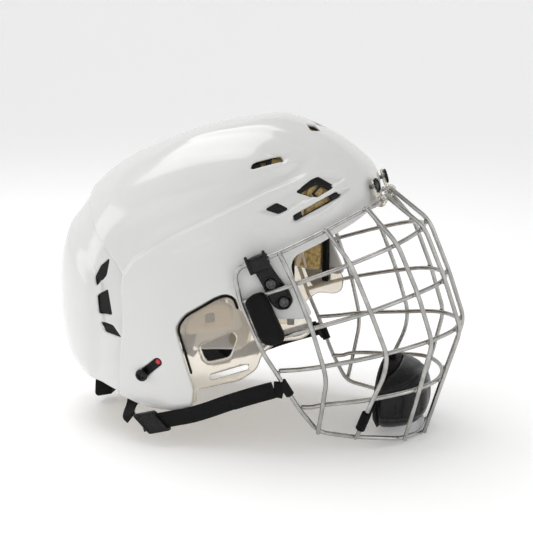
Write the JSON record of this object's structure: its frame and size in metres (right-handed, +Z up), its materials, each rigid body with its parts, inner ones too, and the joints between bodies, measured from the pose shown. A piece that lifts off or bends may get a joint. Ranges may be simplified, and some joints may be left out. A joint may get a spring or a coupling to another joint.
{
  "type": "hockey helmet with wire face cage",
  "caption": "White ice hockey helmet with a hinged wire face cage, clear ear guards, foam liner, chin cup, side clips and strap; the rear shell slides for size.",
  "frame": {"origin": "on the symmetry plane, under the middle of the box of the object as it stands, at the height of the cage's lowest wire", "axes": "+X the way the wearer faces, +Y the wearer's left, +Z up; the helmet stands on the cage's bottom wire and its nape tab, brow pitched up"},
  "size_m": [0.3606, 0.21, 0.275],
  "materials": {
    "white_shell": "glossy moulded, slightly warm white",
    "clear_plastic": "clear polycarbonate with a faint warm tint",
    "foam_liner": "gold-brown moulded bead foam",
    "comfort_foam": "tan soft foam skin",
    "cage_wire": "satin plated wire",
    "black_plastic": "black moulded, semi-gloss",
    "black_rubber": "matte black",
    "black_webbing": "woven black webbing",
    "screw_steel": "dark nickel screws"
  },
  "bodies": {
    "helmet": {"ear_guard_left": "clear_plastic", "ear_guard_right": "clear_plastic", "ear_pad_left": "comfort_foam", "ear_pad_right": "comfort_foam", "front_shell": "white_shell", "hinge_clip_left": "clear_plastic", "hinge_clip_right": "clear_plastic", "hinge_clip_screw_left": "screw_steel", "hinge_clip_screw_right": "screw_steel", "liner_crown": "foam_liner", "liner_forehead": "foam_liner", "liner_side_left": "foam_liner", "liner_side_right": "foam_liner", "pad_forehead": "comfort_foam", "pad_temple_left": "comfort_foam", "pad_temple_right": "comfort_foam", "rear_web_left": "black_webbing", "rear_web_right": "black_webbing", "side_clip_left": "black_plastic", "side_clip_right": "black_plastic", "side_clip_screw_left_lower": "screw_steel", "side_clip_screw_left_upper": "screw_steel", "side_clip_screw_right_lower": "screw_steel", "side_clip_screw_right_upper": "screw_steel"},
    "rear_assembly": {"liner_rear": "foam_liner", "nape_tab": "black_webbing", "pad_rear": "comfort_foam", "rear_shell": "white_shell", "size_arm_left": "black_plastic", "size_arm_right": "black_plastic", "size_screw_left": "black_plastic", "size_screw_right": "black_plastic"},
    "cage": {"bumper_pad_left": "black_rubber", "bumper_pad_right": "black_rubber", "cage_horizontal_1": "cage_wire", "cage_horizontal_2": "cage_wire", "cage_horizontal_3": "cage_wire", "cage_horizontal_4": "cage_wire", "cage_perimeter_wire": "cage_wire", "cage_strap_left": "black_webbing", "cage_strap_right": "black_webbing", "cage_vertical_left_1": "cage_wire", "cage_vertical_left_2": "cage_wire", "cage_vertical_left_3": "cage_wire", "cage_vertical_left_4": "cage_wire", "cage_vertical_right_1": "cage_wire", "cage_vertical_right_2": "cage_wire", "cage_vertical_right_3": "cage_wire", "cage_vertical_right_4": "cage_wire", "chin_cup": "black_plastic", "chin_cup_pad": "black_rubber", "cup_arm_left": "black_rubber", "cup_arm_right": "black_rubber", "cup_sleeve_left": "black_rubber", "cup_sleeve_right": "black_rubber", "strap_loop_left": "black_webbing", "strap_loop_right": "black_webbing"},
    "buckle_right": {"strap_buckle_right": "black_plastic"},
    "buckle_left": {"strap_buckle_left": "black_plastic"}
  },
  "joints": [
    {"name": "cage_hinge", "type": "hinge", "parent": "helmet", "child": "cage", "pos_m": [0.11102, 0, 0.20727], "axis": [0, -1, 0], "range_deg": [0, 95]},
    {"name": "size_slide", "type": "slide", "parent": "helmet", "child": "rear_assembly", "axis": [0.7593, 0, 0.6508], "range_m": [0, 0.01]},
    {"name": "buckle_slide_right", "type": "slide", "parent": "cage", "child": "buckle_right", "axis": [0.9623, 0, 0.272], "range_m": [0, 0.008]},
    {"name": "buckle_slide_left", "type": "slide", "parent": "cage", "child": "buckle_left", "axis": [0.9623, 0, 0.272], "range_m": [0, 0.008]}
  ]
}
